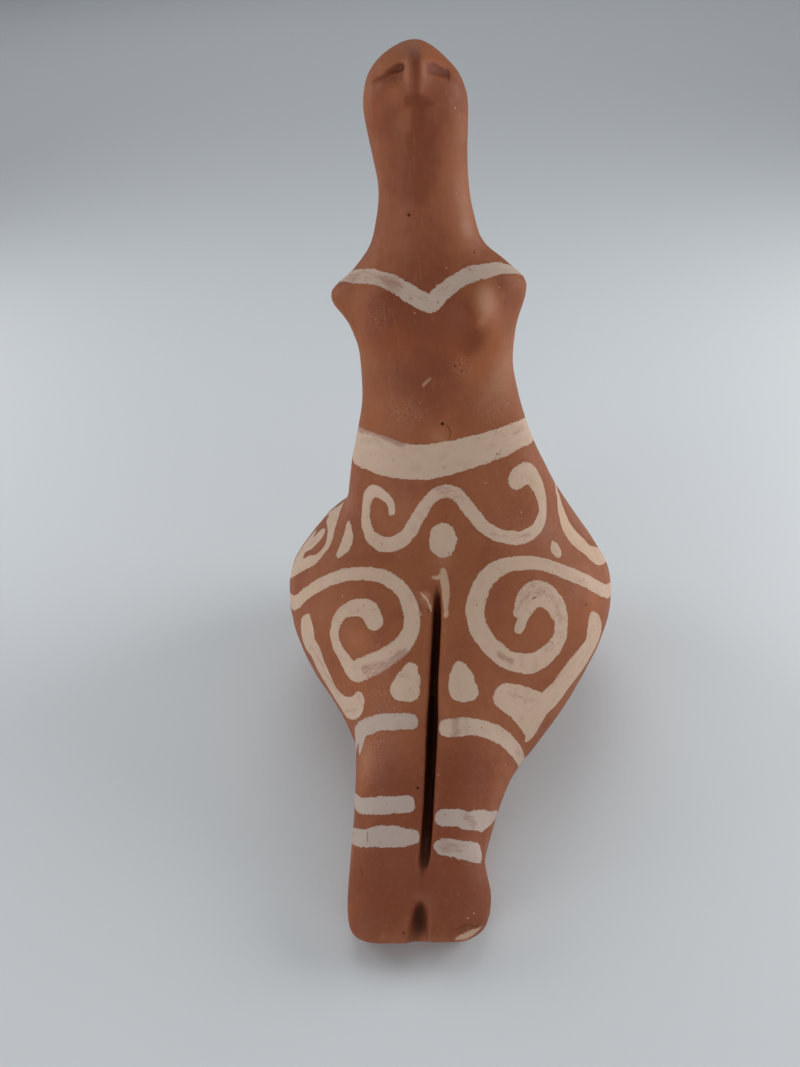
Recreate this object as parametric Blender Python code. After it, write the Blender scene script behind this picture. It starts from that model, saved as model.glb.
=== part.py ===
"""Seated goddess figurine of fired clay: one solid, +Z up, facing -Y, resting on its flat underside."""

from collections import namedtuple
from math import cos, pi, sin

import bmesh
import bpy
import numpy as np
from mathutils import Vector

# Driving dimensions, in metres
SEATED_HEIGHT = 0.1475     # from the surface it sits on to the crown
SLOT_WIDTH = 0.0023        # groove between the legs
SLOT_DEPTH = 0.013         # deepest part of that groove, below the top of the thighs
TOE_GAP = 0.0038           # gap between the two feet at the toe end

# The free form is given in shares of the height, in units of which the crown is this many up
UNITS_IN_HEIGHT = 147.5
UNIT = SEATED_HEIGHT / UNITS_IN_HEIGHT

# Fineness of the loft
POINTS_AROUND = 48
CROWDING = 0.18            # draws the points of a section towards its front and back
UNDERCUT = 1.5             # the loft dips this far below the surface before it is cut flat
CUT_CLEARANCE = 6.0        # cutters stand this far out of the clay
LIP_DEPTH = 1.0            # the lips of a groove open out from this far below the clay beside it
LIP_SPREAD = 1.5           # how much wider a cutter is above the clay than in the groove
FLOOR_SHARE = 0.9          # width of a cutter where its floor begins to round, as a share of the groove's

CLAY_COLOUR = (0.33, 0.125, 0.065, 1.0)
CLAY_ROUGHNESS = 0.62

# One section of the loft, in units. front and back are the (y, z) ends of the section on the middle
# plane, widest is the share of the way from front to back where the section is widest, and the
# roundness is the power of the curve: 2 is an ellipse, more is squarer, less is more pointed.
# slant draws the left side forward and the right side back, by that share of the distance across.
Section = namedtuple(
    "Section", "place front back left middle right widest front_round back_round rings slant",
    defaults=(0.0,))

SECTIONS = (
    Section("toe end", (-79.2, 6.6), (-78.0, 3.6), -11.6, -2.4, 7.6, 0.50, 2.6, 2.6, 1, 0.10),
    Section("toe edge", (-78.6, 9.0), (-76.1, 0.8), -14.2, -2.3, 9.6, 0.52, 2.7, 2.9, 2, 0.10),
    Section("toes", (-76.6, 11.5), (-73.4, -1.2), -16.2, -2.1, 11.5, 0.53, 2.7, 3.2, 3, 0.09),
    Section("feet", (-71.5, 14.6), (-69.5, -UNDERCUT), -17.1, -1.8, 12.5, 0.54, 2.6, 3.4, 4, 0.06),
    Section("ankles", (-62.0, 18.4), (-61.5, -UNDERCUT), -17.6, -1.4, 10.7, 0.56, 2.5, 3.4, 4, 0.02),
    Section("shins", (-52.5, 24.0), (-52.0, -UNDERCUT), -18.0, -1.2, 12.7, 0.60, 2.4, 3.2, 4),
    Section("knees", (-43.0, 32.4), (-39.0, -UNDERCUT), -18.8, -1.0, 16.9, 0.60, 2.3, 2.9, 3),
    Section("thighs low", (-36.6, 38.5), (-24.5, -UNDERCUT), -24.6, -0.8, 25.7, 0.57, 2.3, 2.7, 3),
    Section("thighs", (-30.5, 44.0), (-8.0, -UNDERCUT), -33.7, -0.7, 33.2, 0.52, 2.3, 2.6, 2),
    Section("thighs high", (-25.0, 48.2), (12.5, -UNDERCUT), -38.8, -0.6, 38.6, 0.48, 2.3, 2.5, 2),
    Section("crotch", (-21.5, 50.8), (27.5, 1.0), -40.3, -0.5, 40.1, 0.48, 2.3, 2.3, 2),
    Section("hips", (-18.6, 53.0), (32.6, 9.5), -39.4, -0.4, 39.2, 0.50, 2.2, 2.2, 2),
    Section("buttocks", (-16.4, 55.2), (35.2, 19.5), -35.9, -0.4, 35.9, 0.54, 2.1, 2.2, 3),
    Section("buttocks high", (-14.6, 57.8), (34.0, 30.0), -31.3, -0.5, 31.7, 0.57, 2.1, 2.2, 3),
    Section("hip crease", (-13.0, 60.8), (28.6, 41.2), -26.2, -0.6, 27.6, 0.56, 2.1, 2.2, 3),
    Section("belly", (-11.2, 63.8), (22.0, 51.2), -23.8, -0.8, 24.7, 0.52, 2.1, 2.2, 2),
    Section("belt", (-9.2, 67.6), (17.2, 60.0), -22.3, -1.0, 21.9, 0.50, 2.2, 2.2, 3),
    Section("waist", (-6.6, 73.2), (14.2, 69.6), -20.5, -1.4, 18.7, 0.50, 2.2, 2.3, 4),
    Section("ribs low", (-4.6, 82.4), (13.8, 79.8), -18.6, -2.0, 15.5, 0.50, 2.2, 2.3, 4),
    Section("ribs", (-3.4, 91.4), (14.6, 88.9), -18.5, -2.5, 14.0, 0.50, 2.1, 2.2, 3),
    Section("under the arms", (-2.4, 98.0), (15.6, 95.5), -20.4, -2.8, 14.6, 0.50, 1.9, 2.0, 3),
    Section("arms", (-1.3, 103.4), (16.4, 101.0), -24.2, -3.0, 16.2, 0.50, 1.6, 1.8, 2),
    Section("arms high", (-0.6, 105.8), (16.7, 103.5), -22.5, -3.2, 16.2, 0.50, 1.7, 1.8, 2),
    Section("shoulders", (0.2, 108.4), (17.0, 106.1), -19.2, -3.4, 13.0, 0.50, 1.8, 1.9, 3),
    Section("neck base", (2.2, 114.2), (17.9, 112.0), -14.9, -3.9, 6.9, 0.50, 2.0, 2.0, 4),
    Section("neck", (3.8, 123.4), (19.0, 121.3), -13.1, -4.3, 4.7, 0.50, 2.0, 2.0, 5),
    Section("jaw", (4.4, 132.4), (20.0, 130.2), -14.6, -5.0, 4.2, 0.50, 2.0, 2.0, 5),
    Section("cheeks", (4.6, 138.2), (20.6, 136.0), -15.3, -5.5, 4.1, 0.50, 2.0, 2.0, 4),
    Section("eyes", (5.2, 142.2), (20.2, 140.2), -14.5, -5.7, 2.8, 0.50, 2.0, 2.0, 3),
    Section("brow", (6.6, 144.9), (18.6, 143.4), -12.6, -5.8, 0.4, 0.50, 2.0, 2.0, 2),
    Section("crown", (8.8, 146.7), (16.8, 145.8), -9.7, -5.8, -2.2, 0.50, 2.0, 2.0, 1),
    Section("crown end", (11.2, 147.5), (14.4, 147.2), -7.2, -5.8, -4.3, 0.50, 2.0, 2.0, 1),
)

# Hand-modelled forms on the surface: a ridge from start to end, in units, pushed out by its height
# (or pressed in where the height is negative) and fading over its radius.
Ridge = namedtuple("Ridge", "place start end radius height")

RIDGES = (
    Ridge("nose", (-4.4, 6.4, 145.0), (-4.0, 3.6, 140.6), 1.7, 1.5),
    Ridge("left eye", (-7.4, 5.2, 144.0), (-11.6, 8.2, 142.2), 1.15, -1.1),
    Ridge("right eye", (-1.6, 5.4, 143.8), (1.0, 8.4, 142.8), 1.15, -0.9),
    Ridge("under the nose", (-3.8, 4.2, 137.6), (-3.8, 4.0, 133.0), 1.6, -0.5),
    Ridge("left breast", (-12.0, -1.0, 101.8), (-12.0, -1.4, 99.4), 4.2, 1.2),
    Ridge("right breast", (7.0, -1.4, 102.4), (7.4, -1.8, 99.4), 4.2, 2.0),
    Ridge("leg valley high", (-1.0, -31.0, 42.0), (-1.0, -43.0, 32.0), 3.6, -1.3),
    Ridge("leg valley low", (-1.1, -45.0, 30.0), (-1.3, -76.0, 12.0), 2.6, -1.4),
    Ridge("left hip crease", (-24.0, 2.0, 51.0), (-25.0, 12.0, 47.0), 5.0, -1.5),
    Ridge("cleft of the buttocks", (-0.4, 31.0, 42.0), (-0.4, 35.0, 4.0), 4.2, -3.2),
    Ridge("small of the back", (-1.2, 14.5, 68.0), (-3.0, 16.0, 100.0), 3.2, -0.9),
)

# Centre line of the groove between the legs, in units from the crotch to the small web at the feet:
# y, x, share of the full width, share of the full depth, height of the clay beside it.
Cut = namedtuple("Cut", "y x width depth clay_height")

LEG_SLOT = (
    Cut(-20.2, -1.1, 0.25, 0.20, 51.5),
    Cut(-23.0, -0.9, 0.60, 0.60, 49.5),
    Cut(-28.0, -0.8, 0.90, 0.95, 46.0),
    Cut(-36.0, -1.0, 1.00, 1.00, 39.0),
    Cut(-46.0, -1.1, 1.00, 1.00, 29.5),
    Cut(-57.0, -1.1, 1.05, 0.82, 21.3),
    Cut(-63.5, -1.2, 1.05, 0.50, 17.8),
    Cut(-68.0, -1.4, 1.00, 0.26, 15.9),
    Cut(-71.4, -1.5, 0.90, 0.17, 14.6),
    Cut(-72.6, -1.5, 0.70, 0.10, 14.2),
)

# The gap between the feet: y, x, share of the gap at the toe end, share of the clay's height, height
TOE_SLOT = (
    Cut(-73.2, -1.5, 0.25, 0.14, 13.8),
    Cut(-74.2, -1.6, 0.60, 0.40, 13.1),
    Cut(-75.6, -1.7, 0.75, 0.62, 12.1),
    Cut(-77.0, -1.8, 0.85, 0.80, 11.0),
    Cut(-78.6, -1.9, 1.00, 0.97, 9.0),
    Cut(-83.0, -1.9, 1.10, 1.40, 9.0),
)


def clear_scene():
    for item in list(bpy.data.objects):
        bpy.data.objects.remove(item, do_unlink=True)


def new_collection(name):
    collection = bpy.data.collections.new(name)
    bpy.context.scene.collection.children.link(collection)
    return collection


def clay_material():
    material = bpy.data.materials.new("fired_clay")
    material.use_nodes = True
    shader = material.node_tree.nodes["Principled BSDF"]
    shader.inputs["Base Color"].default_value = CLAY_COLOUR
    shader.inputs["Roughness"].default_value = CLAY_ROUGHNESS
    shader.inputs["Metallic"].default_value = 0.0
    material.diffuse_color = CLAY_COLOUR
    return material


def smooth_between(rows, samples):
    """Sample a smooth curve through the rows: samples[i] steps from row i to the next one."""
    rows = np.array(rows, dtype=float)
    gaps = np.linalg.norm(np.diff(rows[:, :4], axis=0), axis=1)
    slopes = np.diff(rows, axis=0) / gaps[:, None]
    tangents = np.zeros_like(rows)
    tangents[0] = slopes[0]
    tangents[-1] = slopes[-1]
    for i in range(1, len(rows) - 1):
        before, after = slopes[i - 1], slopes[i]
        same_way = before * after > 0
        total = np.where(same_way, before + after, 1.0)
        tangents[i] = np.where(same_way, 2 * before * after / total, 0.0)
        # the middle line turns freely, only the widths keep from overshooting
        tangents[i, :4] = (before[:4] * gaps[i] + after[:4] * gaps[i - 1]) / (gaps[i] + gaps[i - 1])
    curve = []
    for i, gap in enumerate(gaps):
        for step in range(samples[i]):
            t = step / samples[i]
            curve.append(rows[i] * (1 + 2 * t) * (1 - t) ** 2 + rows[i + 1] * t * t * (3 - 2 * t)
                         + gap * (tangents[i] * t * (1 - t) ** 2 - tangents[i + 1] * t * t * (1 - t)))
    curve.append(rows[-1])
    return curve


def section_ring(front_y, front_z, back_y, back_z, left, middle, right,
                 widest, front_round, back_round, slant):
    """Points of one section, counted from the figure's right side round by its front."""
    front = Vector((0, front_y, front_z))
    back = Vector((0, back_y, back_z))
    centre = front.lerp(back, widest)
    ring = []
    for i in range(POINTS_AROUND):
        angle = 2 * pi * i / POINTS_AROUND
        angle += CROWDING * sin(2 * angle)
        across, ahead = cos(angle), sin(angle)
        power = 2 / (front_round if ahead > 0 else back_round)
        reach = right - middle if across > 0 else left - middle
        end = front if ahead > 0 else back
        point = centre + (end - centre) * abs(ahead) ** power
        point.x = middle + reach * abs(across) ** power
        point.y += slant * (point.x - middle)
        ring.append(point)
    return ring


def distance_to_line(points, start, end):
    start, end = np.array(start, dtype=float), np.array(end, dtype=float)
    along = end - start
    share = np.clip((points - start) @ along / (along @ along), 0, 1)
    return np.linalg.norm(points - start - share[:, None] * along, axis=1)


def press_ridges(body):
    """Push the surface out or in along its normals by every ridge."""
    body.normal_update()
    points = np.array([vertex.co for vertex in body.verts])
    lift = np.zeros(len(points))
    for ridge in RIDGES:
        distance = distance_to_line(points, ridge.start, ridge.end)
        lift += ridge.height * np.exp(-(distance / ridge.radius) ** 2)
    for vertex, height in zip(body.verts, lift):
        vertex.co += vertex.normal * height


def skin(rings):
    """Close a row of rings, all with as many points, into one skin with a cap at each end."""
    body = bmesh.new()
    rows = [[body.verts.new(point) for point in ring] for ring in rings]
    for lower, upper in zip(rows, rows[1:]):
        for i in range(len(lower)):
            j = (i + 1) % len(lower)
            body.faces.new((lower[i], lower[j], upper[j], upper[i]))
    body.faces.new(rows[0])
    body.faces.new(rows[-1])
    bmesh.ops.recalc_face_normals(body, faces=body.faces)
    return body


def mesh_object(name, body, collection):
    """Turn a bmesh in units into an object in metres."""
    bmesh.ops.scale(body, vec=Vector((UNIT, UNIT, UNIT)), verts=body.verts)
    bmesh.ops.triangulate(body, faces=body.faces)
    mesh = bpy.data.meshes.new(name)
    body.to_mesh(mesh)
    body.free()
    item = bpy.data.objects.new(name, mesh)
    collection.objects.link(item)
    return item


def trench_cutter(name, cuts, width, depths, collection):
    """A blade with a rounded lower edge that follows the cuts: y, x, width and depth along the groove."""
    rings = []
    for cut, depth in zip(cuts, depths):
        half = 0.5 * width * cut.width / UNIT
        floor = cut.clay_height - depth / UNIT
        top = cut.clay_height + CUT_CLEARANCE
        lip = cut.clay_height - LIP_DEPTH
        down = ((LIP_SPREAD, top), (1.0, lip), (FLOOR_SHARE, floor + half), (0.0, floor))
        outline = [(-side, z) for side, z in down[:-1]] + list(reversed(down))
        rings.append([Vector((cut.x + side * half, cut.y, z)) for side, z in outline])
    cutter = mesh_object(name, skin(rings), collection)
    cutter.display_type = "WIRE"
    cutter.hide_render = True
    return cutter


def ground_cutter(collection):
    """The block below the surface that the figurine sits on."""
    size = 2 * SEATED_HEIGHT
    body = bmesh.new()
    bmesh.ops.create_cube(body, size=size)
    bmesh.ops.translate(body, vec=Vector((0, 0, -size / 2)), verts=body.verts)
    mesh = bpy.data.meshes.new("ground")
    body.to_mesh(mesh)
    body.free()
    cutter = bpy.data.objects.new("ground", mesh)
    collection.objects.link(cutter)
    cutter.display_type = "WIRE"
    cutter.hide_render = True
    return cutter


def cut_away(item, cutter):
    cut = item.modifiers.new("cut_" + cutter.name, "BOOLEAN")
    cut.operation = "DIFFERENCE"
    cut.solver = "EXACT"
    cut.object = cutter


def modelled_figure(collection):
    rows = [(*s.front, *s.back, s.left, s.middle, s.right, s.widest, s.front_round, s.back_round, s.slant)
            for s in SECTIONS]
    rings = [section_ring(*row) for row in smooth_between(rows, [s.rings for s in SECTIONS])]
    body = skin(rings)
    press_ridges(body)
    return mesh_object("goddess_figurine", body, collection)


def main():
    clear_scene()
    parts = new_collection("goddess figurine")
    cutters = new_collection("cutters")
    figure = modelled_figure(parts)
    figure.data.materials.append(clay_material())
    cut_away(figure, ground_cutter(cutters))
    slot_depths = [SLOT_DEPTH * cut.depth for cut in LEG_SLOT]
    cut_away(figure, trench_cutter("leg_slot", LEG_SLOT, SLOT_WIDTH, slot_depths, cutters))
    toe_depths = [cut.clay_height * UNIT * cut.depth for cut in TOE_SLOT]
    cut_away(figure, trench_cutter("toe_slot", TOE_SLOT, TOE_GAP, toe_depths, cutters))
    figure.data.shade_smooth()


main()
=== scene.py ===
"""The seated goddess figurine as it looks: hand-smoothed red fired clay with brushed cream slip."""

from collections import namedtuple
from math import radians

import bmesh
import bpy
import numpy as np
from mathutils import Matrix, Vector, noise
from mathutils.bvhtree import BVHTree


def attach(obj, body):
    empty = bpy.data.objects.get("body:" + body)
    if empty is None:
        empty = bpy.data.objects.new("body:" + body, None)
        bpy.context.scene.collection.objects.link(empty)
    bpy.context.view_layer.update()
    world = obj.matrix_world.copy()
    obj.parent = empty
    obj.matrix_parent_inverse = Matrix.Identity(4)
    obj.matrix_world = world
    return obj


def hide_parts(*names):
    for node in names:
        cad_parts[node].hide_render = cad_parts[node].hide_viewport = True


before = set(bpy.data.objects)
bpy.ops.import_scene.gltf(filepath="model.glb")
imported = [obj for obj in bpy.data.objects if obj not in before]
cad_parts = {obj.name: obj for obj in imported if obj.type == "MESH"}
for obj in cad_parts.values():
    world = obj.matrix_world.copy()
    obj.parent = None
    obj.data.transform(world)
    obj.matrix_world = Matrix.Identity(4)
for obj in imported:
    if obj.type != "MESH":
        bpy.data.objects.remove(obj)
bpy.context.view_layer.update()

MM = 0.001
FIGURE = "goddess_figurine"

# The camera stands where the photograph was taken from; places on the figure are in millimetres
PHOTO_WIDTH = 800
PHOTO_HEIGHT = 1067
PHOTO_FOCAL = 845.0                        # focal length in pixels of the photograph
CAMERA_PLACE = Vector((10.67, -157.95, 172.0))
CAMERA_TURN = radians(8.0)
CAMERA_LOOKS_DOWN = radians(38.44)
CAMERA_ROLL = radians(-3.55)
SENSOR = 36.0

# How the clay is evened out, in millimetres; knots are each a place and the number there
VOXEL = 0.76
FLAT_BELOW = 0.3                           # what lies lower belongs to the flat underside
SMOOTHING_ROUNDS = 60
RELAX_IN = 0.5
RELAX_OUT = -0.46
SMOOTHED_AT_HEIGHT = ((60, 1.0), (95, 0.6), (125, 0.3))
SMOOTHED_FROM_GROOVE = ((3.0, 0.2), (9.0, 1.0))
HOLLOW_ROUNDS = 10
FINGER_SIZE = 13.0
FINGER_HEIGHT = 0.28
TOOL_SIZE = 4.5
TOOL_HEIGHT = 0.07
CALM_ABOVE_SEAT = ((0.0, 0.0), (3.0, 1.0))

# The groove between the legs, in millimetres and in shares of its length
GROOVE_TOP = (-1.0, -22.0, 50.0)
GROOVE_END = (-1.3, -73.0, 14.0)
GROOVE_SHARES = (0.5, 1.15)
GROOVE_STEPS = 40
GROOVE_CLEAR = 40
GROOVE_HALF = 2.6
LIP_ASIDE = 3.4
# Rows of the photograph, and how much of the groove's depth is filled there
GROOVE_FILL = ((750, 0.0), (820, 0.35), (866, 0.50), (878, 0.72), (890, 0.60), (896, 0.0))

# Where the mesh is finer: the face, and three times over around each pinhole
FINE_FACE_ABOVE = 129
FINE_FACE_BEFORE = 10
FINE_FACE_ROWS = (40, 135)
PIT_REACHES = (2.6, 1.7, 1.1)

# How a stroke is laid on the clay, in millimetres
LINE_STEP = 0.6
DOT_LENGTH = (0.02, 0.0, 0.0)
STROKE_MARGIN = 2.5
STROKE_APART = 40.0                        # so that each stroke has brush marks of its own
FAR_OUTSIDE = -3.0
TURNED_AWAY = 0.35                         # clay that faces another way than the stroke takes less of it
TURNED_LOSS = 3.0
SIGHT_STEPS = range(130, 250, 2)           # where a line of sight that just misses the clay is tried
WEAR_SOFT = (-0.9, 0.8)
# soft edges of the painted shade in the leg groove
GROOVE_SHADE_SOFT = (-0.7, 0.7)
PIT_MARGIN = 1.5
PIT_EDGE = -0.08
PIT_FLOOR = 0.4                            # a share of the pit's width
HAIRLINE_BAND = 3.0                        # the width over which a hairline's offset is kept
HAIRLINE_MARGIN = 0.5
HAIRLINE_FAR = 20.0
HAIRLINE_FADE = (0.4, 0.75)                # shares of half the band, at a hairline's ends

# The face, in rows and columns of the photograph; heights and depths are in millimetres
FACE_ABOVE = 122
FACE_BEFORE = 11
FACE_TURN = 0.1
NOSE_MIDDLE = ((44, 413.4), (70, 415.3), (91.6, 415.4), (98.5, 416.3), (103.5, 420.2))
NOSE_HALF = ((44, 5.0), (70, 3.8), (92, 3.8))
NOSE_SLOPE = ((44, 11), (70, 10), (90, 6), (100, 5))
NOSE_HEIGHT = ((40, 0), (54, 0.14), (70, 0.50), (88, 0.75), (96, 0.55), (102, 0))
NOSE_ROWS = ((46, 54), (88, 92))
NOSE_EDGE = (-0.5, 1.0)
# Painted shade: the nose's front strip and underside, the valley below it and the eye hollows are
# darkened in colour where shade falls
NOSE_SHADE = 0.50
BASE_HALF = ((91.6, 3.8), (94.7, 7.8), (98.5, 12.3), (103.5, 15.2), (105.4, 14.8))
BASE_ROWS = ((90, 98), (105, 108))
BASE_EDGE = (-1.0, 3.0)
BASE_HEIGHT = 0.28
UNDERSIDE_ROWS = ((90, 92.5), (104.4, 106.4))
UNDERSIDE_EDGE = (-1.0, 1.0)
UNDERSIDE_SHADE = 1.10
VALLEY_ROWS = ((106, 109), (118, 145))
VALLEY_MIDDLE = 419.5
VALLEY_SIDE = (4, 10)
VALLEY_DEPTH = 0.20
VALLEY_SHADE = 0.65
EYE_TOP_EDGE = (-0.8, 1.2)
LEFT_EYE_TOP = ((368.8, 83), (381, 74.5), (392, 67), (400, 62), (403.4, 63.5))
LEFT_EYE_LOW = ((370, 84.5), (403.4, 81))
LEFT_EYE_LOW_EDGE = (-6.0, 1.5)
LEFT_EYE_INNER = (402, 405)
LEFT_EYE_OUTER = (366, 375)
LEFT_EYE_DEPTH = 0.08
LEFT_EYE_SHADE = 0.40
LEFT_CORE_LOW = ((368.8, 85), (381, 78), (392, 72), (400, 70.5), (403.4, 69))
LEFT_CORE_EDGE = (-1.5, 2.5)
LEFT_CORE_SHADE_SPREAD = ((366, 0), (378, 0.25), (393, 1))
LEFT_CORE_DEPTH = 0.60
LEFT_CORE_SHADE = 0.6
RIGHT_EYE_TOP = ((427, 63), (433, 61.5), (442, 66.5), (450.5, 72))
RIGHT_EYE_LOW = ((427, 73), (437, 76), (448.6, 78.4))
RIGHT_EYE_LOW_EDGE = (-1.5, 1.0)
RIGHT_EYE_COLUMNS = ((425.5, 429), (447.5, 451.5))
RIGHT_EYE_DEPTH = 0.12
RIGHT_EYE_SHADE = ((428, 1.10), (438, 1.40), (446, 1.7))
RIGHT_EYE_DARKEST_SHADE = 0.85
FACE_SHADE_AS_PIT = 0.17                          # the most shaded eye hollows and nose underside are painted as dark as a pit of this depth

# The finish, in millimetres: sizes of its patches, distances between its dots, heights of its relief
BLOTCH_SIZE = 12.0
PLUM_SIZE = 8.0
MOTTLE_SIZE = 2.4
FINE_SIZE = 0.40
GRIT_SIZE = 0.42
BURNISH_SIZE = 0.7
BURNISH_STRETCH = (1, 1, 5)
STREAK_SIZE = 0.36
WIDE_STREAK_SIZE = 1.2
BRUSH_PULL = 0.14                          # brush marks are drawn out along the stroke
PINHOLES_APART = 1.7
SPECKS_APART = 2.9
SPECK_STRETCH = (0.9, 1.1, 1.0)
SPECK_CLUSTER = 6.0
FINE_HEIGHT = 0.012
MOTTLE_HEIGHT = 0.03
PORE_DEPTH = 0.07
SCUFF_HEIGHT = 0.06
BURNISH_HEIGHT = 0.014
SLIP_HEIGHT = 0.05
STREAK_HEIGHT = 0.035
HAIRLINE_HEIGHT = 0.05
CLAY_ROUGHNESS = 0.58
CLAY_SHINE = 0.17

# The studio, in metres and watts: each lamp's name, place, aim, size and power
FLOOR_REACH = 6.0
FLOOR_ROUGHNESS = 0.9
FIGURE_MIDDLE = (0, 0, 0.06)
LAMPS = [
    ("front_left", (-0.50, -0.55, 0.12), FIGURE_MIDDLE, 0.4, 2.6),
    ("front_right", (0.50, -0.55, 0.12), FIGURE_MIDDLE, 0.4, 1.2),
    ("side_left", (-0.40, 0.10, 0.23), FIGURE_MIDDLE, 0.3, 0.6),
    ("side_right", (0.40, 0.10, 0.19), FIGURE_MIDDLE, 0.3, 1.3),
    ("overhead", (-0.15, 1.00, 1.50), (0, 0.7, 0), 1.4, 8.0),
]
SURROUND = (0.90, 0.95, 1.0)
SURROUND_STRENGTH = 0.22
NEAR_CLIP = 0.01

# Colours, linear
CLAY_RED = (0.268, 0.087, 0.036)
# The deeper colour serves the clay's deeper patches and the painted shade; the paler colour serves its
# paler patches and the painted highlights
CLAY_DEEP_AND_SHADED = (0.178, 0.045, 0.019)
CLAY_PALE_AND_LIT = (0.405, 0.200, 0.118)
CLAY_DUST = (0.340, 0.175, 0.120)
CLAY_PLUM = (0.190, 0.066, 0.046)
CLAY_ORANGE = (0.365, 0.105, 0.034)
# This dark colour fills cracks and is the painted shade in pits, hollows, the leg groove and the face's
# recesses
CLAY_CRACK_AND_SHADE = (0.060, 0.016, 0.007)
SPECK = (0.620, 0.460, 0.330)
SLIP_CREAM = (0.510, 0.368, 0.277)
SLIP_WARM = (0.500, 0.335, 0.228)
SLIP_COOL = (0.380, 0.308, 0.275)
SLIP_THIN = (0.355, 0.230, 0.185)
FLOOR_PALE = (0.640, 0.670, 0.690)

# A line of slip, a worn place in it, a pinhole, or a hairline in the clay.
# Its spots are pixels of the photograph, or points in millimetres where the photograph can't see.
# Widths are in millimetres, one for all spots or one each.
# Cool slip is greyer, and less than 0 is warmer. A patch is round and soft, out to its reach.
# A hairline's strength is above 0 for a pale scratch and below 0 for a dark crack.
Stroke = namedtuple("Stroke", "name spots widths cool", defaults=(0.0,))
Worn = namedtuple("Worn", "spots width amount")
Pit = namedtuple("Pit", "spots width depth")
Hairline = namedtuple("Hairline", "spots width strength")
Patch = namedtuple("Patch", "spot reach amount")

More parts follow.
